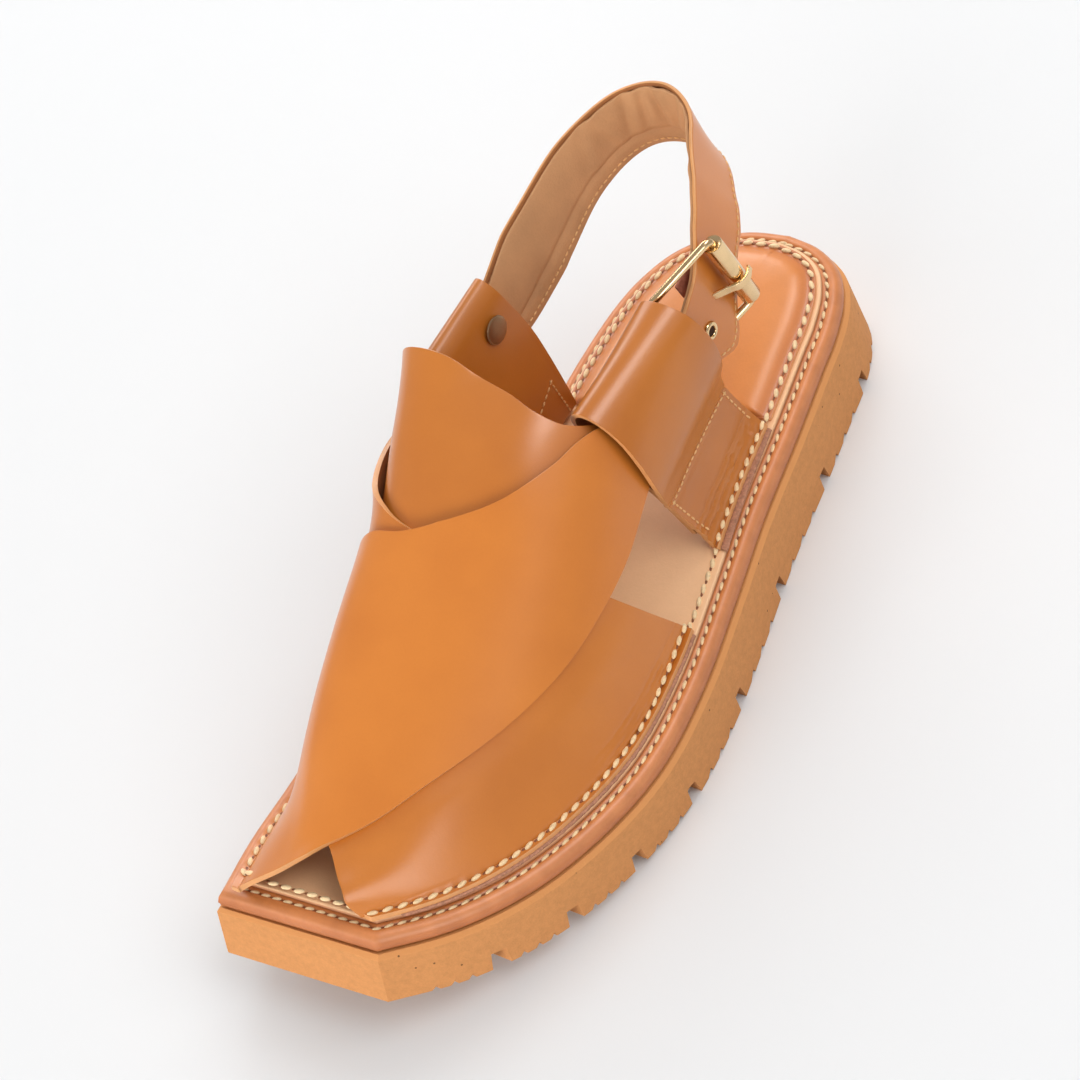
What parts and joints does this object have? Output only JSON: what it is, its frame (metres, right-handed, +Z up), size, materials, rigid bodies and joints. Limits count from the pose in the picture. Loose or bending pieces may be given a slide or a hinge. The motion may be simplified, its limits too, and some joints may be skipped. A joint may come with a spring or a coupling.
{
  "type": "leather sandal",
  "caption": "Left sandal with crossed vamp straps, a tongue, side loops and a buckled heel strap on a thick ripple sole, for wearing on a bare foot.",
  "frame": {"origin": "on the floor, at the middle of the shoe's footprint box", "axes": "+Z up, -Y towards the toe, +X towards the outer side of the left foot"},
  "size_m": [0.1106, 0.2904, 0.1247],
  "materials": {
    "sole_foam": "light tan speckled foam, matt",
    "burnished_edge": "burnished leather edge, orange on top",
    "natural_leather": "undyed insole leather, matt",
    "polished_leather": "polished pad leather",
    "tan_leather": "satin tan leather with paler cut edges",
    "lining_leather": "pale lining leather, wrinkled",
    "chape_leather": "raw reddish leather",
    "cream_thread": "waxed cream stitching thread",
    "gold_metal": "pale gold, polished",
    "bronze_metal": "dark bronze, satin"
  },
  "bodies": {
    "root": {"outsole": "sole_foam", "midsole": "burnished_edge", "insole": "natural_leather", "heel_pad": "polished_leather", "upper": "tan_leather", "tongue": "tan_leather", "outer_loop": "tan_leather", "inner_loop": "tan_leather", "heel_strap": "tan_leather", "chape": "chape_leather", "buckle_frame": "gold_metal", "buckle_prong": "gold_metal", "buckle_roller": "gold_metal", "eyelet": "gold_metal", "rivet": "bronze_metal"}
  },
  "joints": []
}
